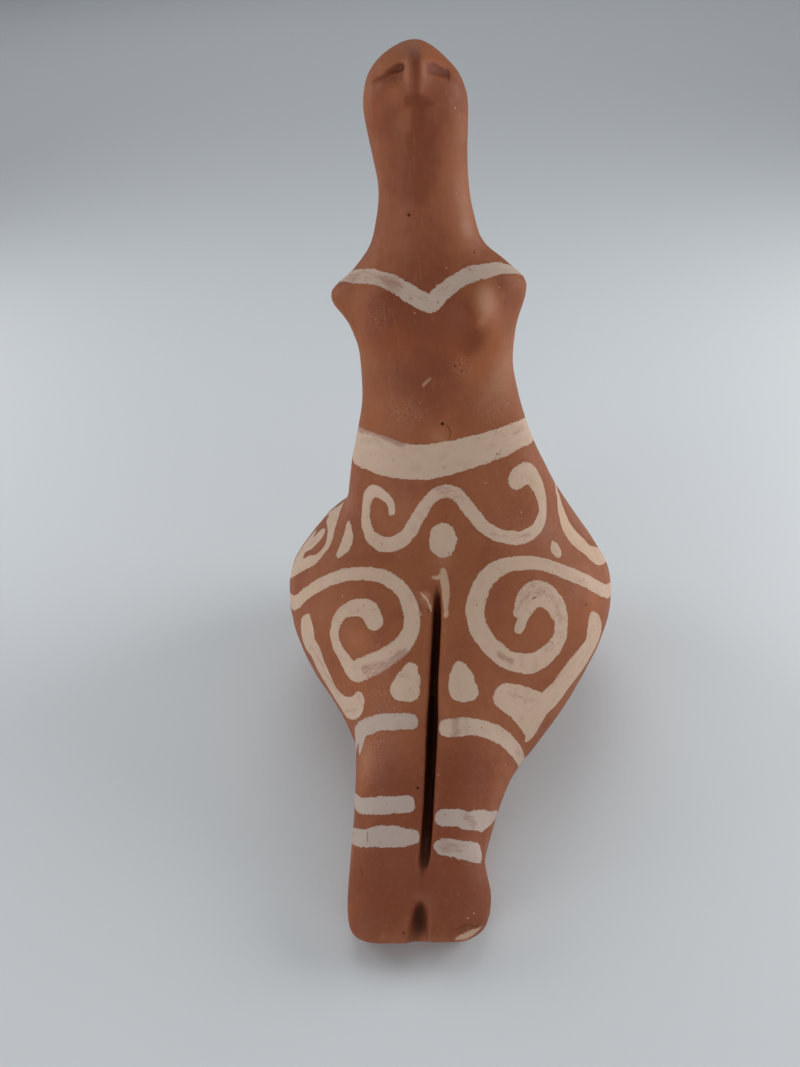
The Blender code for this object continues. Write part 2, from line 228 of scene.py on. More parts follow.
STROKES = [
    Stroke("necklace",
           [(345, 277), (358, 276), (368, 276), (380, 278.5), (395, 284.5), (409, 293),
            (423, 301), (432, 302.5), (443, 292), (459, 280), (475, 273), (487, 271),
            (499, 268), (511, 269), (14, 11, 104.5), (4, 16, 103), (-7, 17.5, 103),
            (-17, 13, 104.5), (-20.8, 8.5, 106)],
           [2.8, 3.0, 3.1, 3.0, 3.2, 3.4, 3.6, 3.7, 3.3, 3.2, 3.1, 3.0, 2.6, 2.2, 2.6, 2.8,
            2.8, 2.6, 2.6], 0.5),
    Stroke("belt",
           [(357, 445), (370, 451), (385, 456.5), (406, 461.5), (431, 461.5), (464, 454),
            (498, 443.5), (520, 434), (529, 428), (16, 9.5, 71.5), (8, 14, 70),
            (-3, 15, 69.5), (-14, 13, 70.0), (-20, 6, 71.0)],
           [8.8, 8.9, 8.8, 7.9, 7.8, 7.0, 6.6, 6.0, 5.6, 5.6, 6.0, 6.5, 7.0, 7.6], 0.1),
    Stroke("belly wave",
           [(392, 512), (391, 504), (384, 496), (374, 491), (367, 500), (365.5, 518),
            (369.5, 534), (380, 543.5), (395, 543.5), (408, 534), (418.5, 516), (429, 500),
            (443, 491), (457, 495), (470, 510), (487, 529), (505, 537), (523, 537),
            (537, 528), (543, 510), (539, 488), (529, 473), (520, 477)],
           [1.6, 1.9, 2.6, 2.9, 2.8, 2.6, 2.8, 3.3, 3.4, 3.2, 2.9, 2.7, 2.7, 2.9, 3.0, 2.9,
            2.9, 3.0, 3.0, 2.9, 3.6, 4.6, 4.8]),
    Stroke("wave end", [(516.5, 481), (519, 477), (526, 472)], [4.0, 4.5, 4.4]),
    Stroke("belly dot",
           [(443, 533.7), (443, 536), (443, 540), (443, 544), (443, 546.3)],
           [4.9, 5.65, 6.1, 5.65, 4.9], 0.2),
    Stroke("left hip curl",
           [(318.5, 536.5), (312.2, 543), (304.5, 546), (300.5, 552.5), (299, 560)],
           [5.0, 5.0, 4.6, 4.6, 5.0]),
    Stroke("left hip curl side",
           [(312, 536), (306.5, 542), (301, 551), (297, 560)],
           [3.6, 3.8, 3.8, 3.8]),
    Stroke("left hip spiral",
           [(-37.8, 3.0, 37.0), (-35.0, 8.5, 41.0), (-30.5, 8.5, 45.6), (-27.3, 3.5, 48.6),
            (337, 509), (333.5, 516), (332.7, 525), (330.5, 535), (328, 544), (321, 554),
            (313.8, 560.2), (306, 563), (295, 570), (-38.4, -4.0, 35.0), (-40.0, 2.0, 29.5),
            (-38.4, 9.5, 28.5), (-34.0, 17.0, 32.0), (-27.5, 22.0, 37.0)],
           [2.4, 2.8, 2.8, 3.4, 4.8, 5.0, 3.3, 2.5, 2.3, 2.2, 3.0, 3.6, 3.4, 3.2, 3.2, 3.0,
            2.8, 1.4]),
    Stroke("left hip drop",
           [(348, 522.5), (348, 530), (347.2, 539), (345, 546.5), (340, 553.5)],
           [1.2, 2.3, 3.5, 3.7, 2.2]),
    Stroke("left waist line", [(351, 468), (349, 485), (346, 498)], [1.6, 1.9, 0.9]),
    Stroke("left thigh spiral",
           [(-37.5, 13.0, 22.0), (-39.6, 3.0, 26.5), (-39.0, -6.5, 31.0), (294, 603),
            (308, 592), (329, 580), (351, 574), (371, 574), (389, 579), (403, 592),
            (411, 610), (411.5, 627), (405, 642), (391, 654), (376, 663), (362, 669),
            (353, 671), (341, 653), (334.5, 638), (337, 621), (346, 611), (358, 607.5),
            (368.5, 610.5), (374.5, 621)],
           [1.8, 2.8, 3.2, 3.6, 3.3, 3.1, 3.1, 3.1, 3.2, 3.2, 3.4, 3.5, 3.8, 4.3, 4.9, 4.9,
            4.6, 3.1, 2.6, 2.5, 3.1, 4.0, 4.6, 4.2]),
    Stroke("left thigh hook",
           [(308, 619), (306.7, 629.5), (308, 641.5), (314, 650.5), (318, 660), (324, 673),
            (331.5, 688), (340, 701), (347, 707), (355.5, 706.5), (360, 698)],
           [2.6, 6.4, 7.0, 6.2, 6.2, 6.8, 7.4, 7.4, 6.0, 4.8, 3.0]),
    Stroke("left groove drop",
           [(410.5, 670), (408, 681), (400, 690), (409, 691)],
           [3.3, 5.2, 4.4, 4.6]),
    Stroke("left knee band",
           [(-17.3, -38.5, 12), (-17.6, -41, 17), (357, 736), (366, 727.5), (380, 722.5),
            (397, 721.5), (411, 721.5)],
           [2.0, 2.8, 4.4, 3.7, 3.6, 3.4, 3.2], 0.7),
    Stroke("left ankle band",
           [(-15.3, -50.5, 11), (362, 805.5), (385, 805), (407, 804.5)],
           [2.8, 3.3, 3.7, 3.4], 1.0),
    Stroke("left lower ankle band",
           [(-15.3, -58, 8.5), (360, 838), (373, 837), (388, 836.5), (404, 837.5),
            (414, 836.5)],
           [2.8, 3.5, 4.1, 4.5, 3.6, 2.6], 1.0),
    Stroke("right thigh spiral",
           [(36.5, 15.0, 22.0), (39.5, 7.0, 26.5), (40.0, -1.0, 31.5), (606, 591),
            (587, 581), (563, 571), (541, 564), (519, 563), (499, 568), (485, 581),
            (477, 598), (475, 616), (482, 635), (495.5, 651), (511, 660.5), (530, 663.5),
            (548, 654), (559.5, 637.5), (561, 620), (557, 602), (547, 591), (537, 588),
            (527, 593), (521, 603), (518, 612)],
           [1.8, 2.8, 3.3, 3.4, 3.5, 3.4, 3.3, 3.3, 3.6, 3.9, 4.0, 4.1, 4.0, 4.0, 4.1, 4.4,
            4.4, 3.8, 3.6, 3.4, 3.5, 3.5, 3.2, 2.8, 2.2], -0.2),
    Stroke("right spiral second pass",
           [(555, 614), (549, 606), (541, 602), (532, 606), (524, 617), (519, 629)],
           [2.4, 2.2, 2.4, 2.2, 2.1, 2.1], -0.2),
    Stroke("right hip spiral",
           [(33.0, 13.5, 41.5), (30.0, 16.0, 45.5), (26.0, 14.5, 50.5), (24.5, 9.5, 54.5),
            (556.5, 490), (558.5, 496), (560.6, 507.5), (564.4, 520), (572.5, 535),
            (585, 547), (594, 555), (37.8, 4.5, 37.0), (39.0, 10.0, 32.5),
            (35.0, 17.0, 33.5), (28.0, 22.5, 37.5)],
           [2.4, 2.6, 2.4, 1.8, 1.8, 2.6, 3.8, 4.6, 6.0, 6.4, 5.6, 3.6, 3.2, 2.8, 1.4], -0.7),
    Stroke("right hip dot", [(554.8, 545.5), (556, 550), (557, 553.5)], [2.1, 2.9, 2.3], -0.3),
    Stroke("right thigh tick",
           [(592.5, 618), (594, 629), (593.5, 641), (587, 653.5), (577.5, 666.5), (567, 680),
            (557, 693.5), (546.5, 703), (538, 716), (531.5, 734)],
           [3.0, 6.6, 9.0, 9.6, 9.2, 8.8, 8.4, 8.2, 7.0, 4.4], -0.3),
    Stroke("right tick arm", [(503.5, 693.5), (517, 696.5), (535, 702.5)], [4.5, 5.0, 5.2], -0.1),
    Stroke("right tick corner",
           [(501, 698), (516, 709), (526, 721), (531, 735)],
           [3.8, 4.2, 4.2, 2.6], -0.1),
    Stroke("right groove drop",
           [(459.5, 668), (461.5, 680), (460, 690.5), (468, 691)],
           [3.0, 5.4, 4.6, 4.6], 0.2),
    Stroke("right knee band",
           [(446, 728), (459, 727), (478, 727.5), (496, 733.5), (508, 742), (518, 754),
            (18.9, -36.0, 5.5)],
           [3.6, 4.0, 3.6, 3.6, 3.3, 3.1, 2.6], 0.3),
    Stroke("right ankle band",
           [(443, 818), (456, 818), (468, 820.5), (481, 820.5), (489, 819),
            (12.6, -50.0, 7.0)],
           [3.4, 3.5, 3.5, 4.6, 3.4, 2.0], 0.9),
    Stroke("right lower ankle band",
           [(437.5, 846.5), (443, 847), (453, 848), (465, 851), (477, 852.5)],
           [1.8, 3.0, 3.6, 3.7, 4.2], 0.9),
    Stroke("left buttock spiral",
           [(-14.0, 30.5, 26.0), (-17.5, 31.0, 24.0), (-17.0, 30.5, 30.0),
            (-12.5, 30.5, 31.5), (-8.5, 31.0, 27.5), (-9.0, 31.5, 21.0), (-15.0, 31.5, 16.5),
            (-23.0, 28.5, 19.0), (-26.0, 26.0, 27.0), (-22.0, 26.5, 36.0),
            (-14.0, 25.5, 42.0), (-6.0, 24.0, 44.0)],
           [3.4, 3.2, 2.9, 2.9, 2.9, 3.0, 3.1, 3.1, 3.0, 3.0, 2.6, 1.2]),
    Stroke("right buttock spiral",
           [(13.5, 30.5, 26.5), (17.0, 31.0, 24.5), (16.5, 30.5, 30.5), (12.0, 30.5, 32.0),
            (8.0, 31.0, 28.0), (8.5, 31.5, 21.5), (14.5, 31.5, 17.0), (22.5, 28.5, 19.5),
            (25.5, 26.0, 27.5), (21.5, 26.5, 36.5), (13.5, 25.5, 42.5), (5.5, 24.0, 44.5)],
           [3.3, 3.1, 2.9, 2.9, 3.0, 3.0, 3.1, 3.0, 3.0, 2.9, 2.6, 1.2]),
    Stroke("back dot", [(-0.3, 16.5, 59.0), (-0.3, 17.5, 57.0)], [5.0, 5.0]),
    Stroke("left knee band foot",
           [(362, 731), (361, 740), (360, 748), (359.5, 754)],
           [4.4, 3.2, 2.0, 0.9], 0.7),
]

PINK_SMEARS = [
    Stroke("groove smear", [(443, 571), (445, 585), (446, 602), (446, 616)], [1.8, 2.0, 1.6, 1.0]),
    Stroke("groove smear side", [(431, 577), (437, 578), (442, 574)], [0.6, 1.1, 1.0]),
    Stroke("right toe chip", [(457, 939), (465, 936), (474, 932), (481, 927)], [1.0, 1.8, 1.8, 0.8]),
]

WORN = [
    Worn([(357, 428), (370, 431), (385, 437), (402, 444)], 1.9, 1.0),
    Worn([(352, 470), (349, 487), (345, 500)], 2.0, 0.45),
    Worn([(497, 434), (512, 434), (527, 424)], 1.0, 0.7),
    Worn([(507, 430), (522, 426)], 0.8, 0.5),
    Worn([(367, 671), (381, 669), (394, 663), (404, 655)], 3.4, 0.80),
    Worn([(362, 656), (378, 649), (393, 643)], 1.4, 0.6),
    Worn([(371, 499), (367, 510)], 1.3, 0.6),
    Worn([(438, 489), (450, 493), (462, 502)], 2.2, 0.65),
    Worn([(491, 534), (510, 538), (530, 534)], 0.9, 0.8),
    Worn([(312, 648), (320, 661), (328, 677), (337, 692)], 1.8, 0.65),
    Worn([(350, 711), (357, 704)], 0.8, 0.6),
    Worn([(498, 655), (505, 658), (511, 661)], 1.7, 0.95),
    Worn([(516, 611), (524, 599), (536, 592), (549, 596), (557, 607), (560, 620)], 1.1, 0.85),
    Worn([(521, 601), (527, 592), (538, 586), (549, 592), (556, 603), (560, 617)], 3.2, 0.50),
    Worn([(561, 625), (557, 641), (546, 655)], 3.2, 0.45),
    Worn([(509, 694), (521, 698), (533, 700)], 1.1, 0.8),
    Worn([(580, 646), (570, 661), (556, 678), (541, 696)], 0.9, 0.7),
    Worn([(542, 722), (537, 733)], 1.6, 0.6),
    Worn([(456, 721), (456, 735)], 2.0, 0.9),
    Worn([(466, 722), (467, 734)], 1.4, 0.7),
    Worn([(516, 752), (524, 757)], 1.6, 0.7),
    Worn([(395, 716), (397, 722)], 1.4, 0.5),
    Worn([(383, 801), (390, 803)], 1.8, 0.4),
    Worn([(467, 817), (474, 824)], 2.4, 0.75),
    Worn([(444, 846), (458, 848)], 2.6, 0.75),
    Worn([(350, 277), (365, 276), (378, 278)], 2.8, 0.72),
    Worn([(386, 280), (399, 287)], 2.6, 0.90),
    Worn([(439, 293), (447, 285)], 1.8, 0.5),
    Worn([(406, 292), (420, 299)], 1.6, 0.55),
    Worn([(470, 272), (480, 269)], 1.6, 0.35),
    Worn([(585, 574), (600, 584)], 1.2, 0.35),
    Worn([(316, 585), (340, 576)], 0.8, 0.4),
]

# Painted highlights and painted shade, together with the clay's own paler and deeper patches, paler above
# 0 and deeper below: highlights on the breasts, the right of the neck and the flanks, shade down the
# middle of the chest and neck, beside and under the nose, on the shins, on the feet and at the end of the
# leg groove
LIGHT_SHADE_AND_TONE_PATCHES = [
    Patch((437, 335), 9, -0.55),
    Patch((405, 318), 7, -0.30),
    Patch((487, 293), 3.2, 0.75),
    Patch((485, 308), 2.7, 0.85),
    Patch((481, 324), 1.7, 0.80),
    Patch((501, 280), 2.0, -0.35),
    Patch((469, 322), 3.6, -0.55),
    Patch((499, 296), 3.0, -0.30),
    Patch((378, 312), 3.0, -0.45),
    Patch((374, 335), 4.0, -0.45),
    Patch((470, 340), 3.0, -0.35),
    Patch((465, 190), 3.6, 0.20),
    Patch((463, 212), 3.4, 0.40),
    Patch((467, 231), 2.6, 0.60),
    Patch((430, 245), 9, -0.35),
    Patch((422, 130), 2.4, -0.40),
    Patch((424, 145), 3.4, -0.45),
    Patch((405, 121), 2.2, 0.40),
    Patch((385, 110), 4.0, -0.45),
    Patch((380, 95), 4.0, -0.20),
    Patch((448, 100), 6.0, -0.40),
    Patch((461, 130), 2.6, 0.35),
    Patch((366, 320), 4.0, 0.30),
    Patch((368, 360), 5.0, 0.35),
    Patch((500, 375), 5.0, 0.30),
    Patch((425, 375), 8.0, -0.25),
    Patch((438, 436), 2.6, 0.55),
    Patch((460, 367), 2.0, 0.25),
    Patch((404, 414), 2.4, 0.30),
    Patch((415, 380), 12, -0.25),
    Patch((344, 612), 5, 0.25),
    Patch((355, 640), 3, 0.30),
    Patch((318, 612), 4, 0.30),
    Patch((368, 750), 4, 0.45),
    Patch((364, 775), 4, 0.40),
    Patch((475, 928), 1.2, -1.2),
    Patch((463, 929), 1.0, -1.0),
    Patch((470, 936), 1.8, 1.0),
    Patch((461, 938), 1.2, 0.9),
    Patch((421, 894), 1.4, 0.7),
    Patch((425, 597), 1.0, 0.9),
    Patch((430, 606), 0.8, 0.9),
    Patch((396, 52), 4, 0.20),
    Patch((415, 180), 5, -0.50),
    Patch((455, 180), 4, 0.35),
    Patch((500, 318), 4, 0.20),
    Patch((508, 350), 5, 0.35),
    Patch((495, 395), 7, 0.35),
    Patch((375, 400), 6, 0.25),
    Patch((443, 562), 4, 0.35),
    Patch((466, 775), 8, -0.50),
    Patch((376, 890), 10, -0.60),
    Patch((460, 890), 10, -0.60),
    Patch((388, 790), 7, -0.40),
    Patch((460, 795), 7, -0.35),
    Patch((426, 874), 1.8, -0.9),
    Patch((424, 886), 1.8, -0.5),
]

# Where the firing turned the clay more orange, above 0, or more plum
HUES = [
    Patch((413, 42), 4, 0.6),
    Patch((393, 94), 1.8, 0.6),
    Patch((382, 105), 4.5, 0.30),
    Patch((405, 121), 2.4, -0.6),
    Patch((450, 105), 5, 0.2),
    Patch((437, 345), 8, 0.45),
    Patch((500, 318), 5, 0.5),
    Patch((503, 355), 6, 0.4),
    Patch((366, 340), 5, 0.4),
    Patch((357, 640), 3, 0.8),
    Patch((590, 600), 6, 0.5),
    Patch((443, 566), 5, -0.3),
    Patch((385, 755), 6, -0.5),
    Patch((385, 880), 9, -0.25),
    Patch((455, 885), 9, -0.25),
    Patch((355, 905), 4, 0.3),
    Patch((438, 69), 2.6, 0.9),
]

# Fullness in millimetres that the fingers left
BUMPS = [
    Patch((505, 268), 5.0, 0.7),
    Patch((385, 308), 4.5, 1.0),
    Patch((476, 312), 4.5, 1.0),
]

# Painted shade on the floor of the leg groove, and between the toes
GROOVE_SHADE = [
    Worn([(431.5, 700), (431, 740), (430, 790), (428, 840), (426.5, 862)], 2.4, 0.34),
    Worn([(418.5, 910), (417, 922), (417, 937)], 2.6, 0.24),
]

# Places rubbed rough, with pale and dark grit
SCUFFS = [
    Patch((404, 414), 3.6, 1.0),
    Patch((461, 367), 2.6, 1.0),
    Patch((492, 408), 5.0, 0.7),
    Patch((375, 735), 5.0, 0.9),
    Patch((366, 765), 5.0, 0.7),
    Patch((386, 704), 4.5, 1.0),
    Patch((420, 600), 4.0, 0.8),
    Patch((372, 640), 3.5, 0.7),
    Patch((376, 318), 5.0, 0.6),
    Patch((398, 556), 2.5, 0.6),
    Patch((520, 545), 5.0, 0.4),
    Patch((515, 520), 5.0, 0.4),
    Patch((470, 934), 2.5, 0.8),
]

PITS = [
    Pit([(409, 215)], 0.62, 0.4),
    Pit([(442.5, 424)], 0.80, 0.6),
    Pit([(474, 252)], 0.50, 0.2),
    Pit([(476, 333)], 0.60, 0.2),
    Pit([(417.7, 788)], 0.70, 0.4),
    Pit([(404, 933)], 0.70, 0.3),
    Pit([(396, 81)], 0.45, 0.10),
    Pit([(402, 79)], 0.45, 0.10),
    Pit([(455, 366)], 0.55, 0.25),
    Pit([(462, 371)], 0.60, 0.25),
    Pit([(467, 362)], 0.45, 0.2),
    Pit([(456, 474)], 0.45, 0.2),
    Pit([(438, 302)], 0.55, 0.25),
    Pit([(425.7, 297)], 0.40, 0.15),
    Pit([(586.5, 605)], 0.50, 0.2),
    Pit([(430, 603)], 0.80, 0.22),
    Pit([(428, 610)], 0.60, 0.22),
]

HAIRLINES = [
    Hairline([(448, 427), (451, 432), (449, 438)], 0.30, -0.7),
    Hairline([(447.8, 72.5), (448.6, 79)], 0.26, -0.7),
    Hairline([(361, 869), (362, 873)], 0.28, -0.7),
    Hairline([(361, 930), (366, 926)], 0.3, -0.2),
    Hairline([(367.5, 834), (367.5, 839)], 0.40, -0.6),
    Hairline([(497, 452), (495, 459)], 0.25, -0.5),
    Hairline([(501, 450), (499, 457)], 0.25, -0.4),
    Hairline([(392, 310), (396, 326), (399, 343)], 0.60, 0.12),
    Hairline([(384, 306), (385, 320)], 0.40, 0.15),
    Hairline([(418, 256), (420, 268), (421, 280)], 0.40, 0.15),
    Hairline([(424.5, 384), (429, 379.5)], 0.90, 0.45),
    Hairline([(398, 420), (404, 413), (407, 409)], 0.45, 0.20),
    Hairline([(414, 408), (417, 419)], 0.35, 0.12),
    Hairline([(422, 594), (428, 601), (431, 609)], 0.55, 0.75),
    Hairline([(414, 603), (420, 613)], 0.50, 0.60),
    Hairline([(583, 652), (562, 675), (540, 702)], 0.35, -0.30),
    Hairline([(528, 712), (548, 692)], 0.35, -0.25),
    Hairline([(345, 712), (356, 709)], 0.40, -0.30),
    Hairline([(458, 928), (467, 925), (478, 926)], 0.55, -0.4),
]


class Shade:
    """A number that a shader works out: arithmetic on it adds Math nodes."""

    def __init__(self, finish, socket):
        self.finish = finish
        self.socket = socket

    def maths(self, operation, *numbers):
        settings = {"operation": operation}
        return self.finish.node("ShaderNodeMath", settings, dict(enumerate(numbers)))

    def __add__(self, other):
        return self.maths("ADD", self, other)

    def __sub__(self, other):
        return self.maths("SUBTRACT", self, other)

    def __rsub__(self, other):
        return self.maths("SUBTRACT", other, self)

    def __mul__(self, other):
        return self.maths("MULTIPLY", self, other)

    def __abs__(self):
        return self.maths("ABSOLUTE", self)

    __radd__ = __add__
    __rmul__ = __mul__

    def between(self, low, high):
        """0 below low, 1 above high and a smooth rise from one to the other."""
        settings = {"interpolation_type": "SMOOTHSTEP"}
        ends = {"Value": self, "From Min": low, "From Max": high}
        return self.finish.node("ShaderNodeMapRange", settings, ends)


class Finish:
    """A procedural material: one method makes any node, from its type, settings and sockets."""

    def __init__(self, name):
        self.material = bpy.data.materials.new(name)
        self.material.use_nodes = True
        self.nodes = self.material.node_tree.nodes
        self.links = self.material.node_tree.links
        self.surface = self.nodes["Principled BSDF"]

    def node(self, kind, settings, sockets, output=0):
        made = self.nodes.new(kind)
        for name, setting in settings.items():
            setattr(made, name, setting)
        for name, value in sockets.items():
            self.feed(made.inputs[name], value)
        return Shade(self, made.outputs[output])

    def feed(self, socket, value):
        if isinstance(value, Shade):
            self.links.new(value.socket, socket)
        elif hasattr(value, "__len__") and len(value) == 3 and socket.type == "RGBA":
            socket.default_value = (*value, 1.0)
        else:
            socket.default_value = value

    def shine(self, **sockets):
        """Set the surface's own sockets, named with _ for a space."""
        for name, value in sockets.items():
            self.feed(self.surface.inputs[name.replace("_", " ")], value)

    def measure(self, name):
        """A number that the mesh carries at each of its points."""
        return self.node("ShaderNodeAttribute", {"attribute_name": name}, {}, "Fac")

    def place(self, stretch):
        """The place on the object in millimetres, each axis divided by its stretch."""
        origin = self.node("ShaderNodeTexCoord", {}, {}, "Object")
        factors = tuple(1 / (MM * share) for share in stretch)
        return self.node("ShaderNodeVectorMath", {"operation": "MULTIPLY"}, {0: origin, 1: factors})

    def vector(self, x, y, z):
        return self.node("ShaderNodeCombineXYZ", {}, {"X": x, "Y": y, "Z": z})

    def grain(self, where, size, detail, seed, rough=0.5):
        """Noise of about 0 to 1 whose patches are about that size."""
        settings = {"noise_dimensions": "4D"}
        sockets = {"Vector": where, "W": seed, "Scale": 1 / size, "Detail": detail, "Roughness": rough}
        return self.node("ShaderNodeTexNoise", settings, sockets)

    def dots(self, where, apart, core, rim):
        """1 on scattered dots: their core and rim are shares of how far apart they are."""
        sockets = {"Vector": where, "Scale": 1 / apart}
        return 1 - self.node("ShaderNodeTexVoronoi", {}, sockets, "Distance").between(core, rim)

    def coats(self, ground, coats):
        """The ground colour under coats, each the share that it covers and its colour."""
        for share, colour in coats:
            sockets = {0: share, 6: ground, 7: colour}
            ground = self.node("ShaderNodeMix", {"data_type": "RGBA"}, sockets, 2)
        return ground


def camera_turn():
    """The camera's rotation: turned left, tipped down, then rolled."""
    tip = radians(90) - CAMERA_LOOKS_DOWN
    return (Matrix.Rotation(CAMERA_TURN, 3, "Z") @ Matrix.Rotation(tip, 3, "X")
            @ Matrix.Rotation(CAMERA_ROLL, 3, "Z"))


def photo_ray(u, v):
    """The direction in which the camera sees a pixel of the photograph."""
    across = (u - PHOTO_WIDTH / 2) / PHOTO_FOCAL
    down = (v - PHOTO_HEIGHT / 2) / PHOTO_FOCAL
    return (camera_turn() @ Vector((across, -down, -1.0))).normalized()


def photo_pixels(points):
    """Where points in millimetres are seen in the photograph."""
    seen = (points - np.array(CAMERA_PLACE)) @ np.array(camera_turn())
    return (PHOTO_WIDTH / 2 - PHOTO_FOCAL * seen[:, 0] / seen[:, 2],
            PHOTO_HEIGHT / 2 + PHOTO_FOCAL * seen[:, 1] / seen[:, 2])


def smoothstep(low, high, values):
    """0 below low, 1 above high and a smooth rise from one to the other."""
    t = np.clip((values - low) / (high - low), 0, 1)
    return t * t * (3 - 2 * t)


def falloff(values, fall):
    """1 before the fall and 0 after it."""
    return 1 - smoothstep(*fall, values)


def band(values, rise, fall):
    """1 from the end of the rise to the start of the fall, and 0 outside them."""
    return smoothstep(*rise, values) * falloff(values, fall)


def profile(values, knots):
    """A number read off a line through knots, each a place and the number there."""
    return np.interp(values, *zip(*knots))


def grain_field(points, size, seed):
    """Noise of about -1 to 1 at each point, in patches of that size."""
    shift = Vector((seed * 17.3, seed * -9.1, seed * 5.7))
    return np.array([noise.noise(Vector(point) / size + shift) for point in points])


class Clay:
    """The figure's surface in millimetres, as a mesh and as arrays of its points."""

    def __init__(self, body):
        self.body = body
        self.refresh()

    def refresh(self):
        self.body.verts.ensure_lookup_table()
        self.body.normal_update()
        self.points = np.array([vertex.co for vertex in self.body.verts])
        self.normals = np.array([vertex.normal for vertex in self.body.verts])
        self.tree = BVHTree.FromBMesh(self.body)

    def move(self, points):
        for vertex, point in zip(self.body.verts, points):
            vertex.co = point
        self.refresh()

    def push(self, heights):
        """Raise each point along the way it faces, and keep the underside flat."""
        points = self.points + self.normals * heights[:, None]
        points[:, 2] = np.maximum(points[:, 2], 0.0)
        points[self.points[:, 2] <= 0.0, 2] = 0.0
        self.move(points)

    def neighbour_mean(self):
        """A function that averages values over the neighbours of each point."""
        edges = np.array([[vertex.index for vertex in edge.verts] for edge in self.body.edges])
        joined = np.bincount(edges.ravel(), minlength=len(self.points)).astype(float)

        def mean(values):
            total = np.zeros_like(values)
            for first, second in ((0, 1), (1, 0)):
                for axis in range(3):
                    far = values[edges[:, second], axis]
                    total[:, axis] += np.bincount(edges[:, first], far, len(values))
            return total / joined[:, None]

        return mean

    def relax(self, rounds, amounts):
        """Even the surface out without shrinking it, by each point's own amount."""
        mean = self.neighbour_mean()
        points = self.points.copy()
        flat = points[:, 2] < FLAT_BELOW
        for turn in range(rounds):
            strength = RELAX_IN if turn % 2 == 0 else RELAX_OUT
            points += (mean(points) - points) * (strength * amounts)[:, None]
        points[flat, 2] = 0.0
        points[:, 2] = np.maximum(points[:, 2], 0.0)
        self.move(points)

    def refine(self, wanted):
        """Split every edge whose two ends are wanted."""
        edges = [edge for edge in self.body.edges
                 if all(wanted[vertex.index] for vertex in edge.verts)]
        bmesh.ops.subdivide_edges(self.body, edges=edges, cuts=1, use_grid_fill=True)
        self.body.verts.index_update()
        self.refresh()

    def hollowness(self):
        """How far each point lies below its neighbours, in millimetres."""
        mean = self.neighbour_mean()
        values = self.points.copy()
        for _ in range(HOLLOW_ROUNDS):
            values = 0.5 * values + 0.5 * mean(values)
        return ((values - self.points) * self.normals).sum(1)

    def place(self, spot):
        """The place on the clay of a pixel of the photograph, or of a point in millimetres near it."""
        if len(spot) == 3:
            return self.tree.find_nearest(Vector(spot))[0]
        way = photo_ray(*spot)
        place = self.tree.ray_cast(CAMERA_PLACE, way)[0]
        if place is None:
            passed = [self.tree.find_nearest(CAMERA_PLACE + way * reach) for reach in SIGHT_STEPS]
            place = min(passed, key=lambda found: found[3])[0]
        return place

    def line(self, spots):
        """A smooth line on the clay through the spots, and which spot each of its points is at."""
        knots = [np.array(self.place(spot)) for spot in spots]
        if len(knots) == 1:
            knots.append(knots[0] + np.array(DOT_LENGTH))
        ends = [2 * knots[0] - knots[1], *knots, 2 * knots[-1] - knots[-2]]
        points, shares = [], []
        for i in range(len(knots) - 1):
            p0, p1, p2, p3 = ends[i:i + 4]
            count = max(1, round(np.linalg.norm(p2 - p1) / LINE_STEP))
            for t in np.arange(count) / count:
                curve = (2 * p1 + (p2 - p0) * t + (2 * p0 - 5 * p1 + 4 * p2 - p3) * t ** 2
                         + (3 * p1 - p0 - 3 * p2 + p3) * t ** 3)
                points.append(0.5 * curve)
                shares.append(i + t)
        points.append(knots[-1])
        shares.append(len(knots) - 1)
        found = [self.tree.find_nearest(Vector(point)) for point in points]
        centres = np.array([place for place, *_ in found])
        facing = np.array([normal for _, normal, *_ in found])
        return centres, facing, np.array(shares)

    def along(self, spots, widths, margin=STROKE_MARGIN):
        """The points near a stroke: which, how far inside its edge, and their run and offset along it."""
        centres, facing, shares = self.line(spots)
        halves = np.interp(shares, np.arange(len(spots)), np.broadcast_to(widths, len(spots))) / 2
        reach = halves.max() + margin
        low = centres.min(0) - reach
        high = centres.max(0) + reach
        near = np.flatnonzero(((self.points > low) & (self.points < high)).all(1))
        starts = centres[:-1]
        steps = centres[1:] - starts
        lengths = np.maximum(np.linalg.norm(steps, axis=1), 1e-6)
        ways = steps / lengths[:, None]
        runs = np.concatenate(([0.0], np.cumsum(lengths)))
        offset = self.points[near][:, None, :] - starts[None]
        ahead = (offset * ways[None]).sum(2)
        clamped = np.clip(ahead, 0, lengths[None])
        gaps = np.linalg.norm(offset - clamped[..., None] * ways[None], axis=2)
        share = clamped / lengths[None]
        half = halves[:-1][None] * (1 - share) + halves[1:][None] * share
        best = (half - gaps).argmax(1)
        rows = np.arange(len(near))
        inside = (half - gaps)[rows, best]
        run = runs[best] + ahead[rows, best]
        sideways = np.cross(facing[best], ways[best])
        across = (offset[rows, best] * sideways).sum(1)
        turned = (self.normals[near] * facing[best]).sum(1)
        inside = inside - TURNED_LOSS * np.maximum(0, TURNED_AWAY - turned)
        return near, inside, run, across


def even_clay():
    """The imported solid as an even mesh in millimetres, without its facets."""
    solid = bmesh.new()
    solid.from_mesh(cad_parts[FIGURE].data)
    bmesh.ops.remove_doubles(solid, verts=solid.verts, dist=1e-7)
    bmesh.ops.scale(solid, vec=Vector((1 / MM,) * 3), verts=solid.verts)
    mesh = bpy.data.meshes.new("clay_blank")
    solid.to_mesh(mesh)
    solid.free()
    blank = bpy.data.objects.new("clay_blank", mesh)
    bpy.context.scene.collection.objects.link(blank)
    remesh = blank.modifiers.new("even", "REMESH")
    remesh.mode = "VOXEL"
    remesh.voxel_size = VOXEL
    view = bpy.context.evaluated_depsgraph_get()
    body = bmesh.new()
    body.from_mesh(blank.evaluated_get(view).to_mesh())
    bpy.data.objects.remove(blank)
    return body


